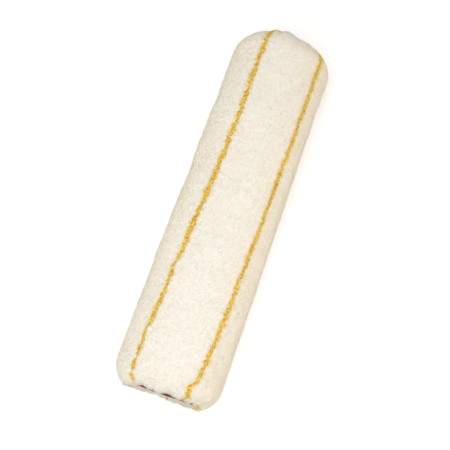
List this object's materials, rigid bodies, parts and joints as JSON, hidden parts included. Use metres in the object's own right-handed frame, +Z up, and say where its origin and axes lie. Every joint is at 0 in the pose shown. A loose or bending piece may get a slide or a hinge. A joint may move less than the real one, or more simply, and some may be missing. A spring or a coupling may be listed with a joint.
{
  "type": "paint roller sleeve",
  "caption": "Refill sleeve for a paint roller: a straight board core open at both ends, covered with thick plush nap with rounded ends and narrow lengthwise gold stripes.",
  "frame": {"origin": "the middle of the bore, on its axis, at half the sleeve's length", "axes": "+Y along the bore; +Z up, away from the pressed strip that the sleeve lies on; +X to the right of the sleeve seen from its -Y end"},
  "size_m": [0.0635, 0.232, 0.0631],
  "materials": {
    "core_board": "phenolic-soaked kraft board, dark red-brown, satin",
    "fabric_glue": "hot-melt film, amber, smooth",
    "backing_cloth": "close-knit polyester ground cloth, cream",
    "seam_thread": "twisted sewing thread, cream",
    "nap_white": "dense plush pile, warm white",
    "nap_gold": "dense plush pile, golden yellow"
  },
  "bodies": {
    "root": {"core_inner_ply": "core_board", "core_middle_ply": "core_board", "core_outer_ply": "core_board", "fabric_glue": "fabric_glue", "backing_cloth": "backing_cloth", "seam_thread": "seam_thread", "nap_panel_1": "nap_white", "nap_panel_2": "nap_white", "nap_panel_3": "nap_white", "nap_panel_4": "nap_white", "nap_panel_5": "nap_white", "nap_panel_6": "nap_white", "gold_stripe_1": "nap_gold", "gold_stripe_2": "nap_gold", "gold_stripe_3": "nap_gold", "gold_stripe_4": "nap_gold", "gold_stripe_5": "nap_gold"}
  },
  "joints": []
}
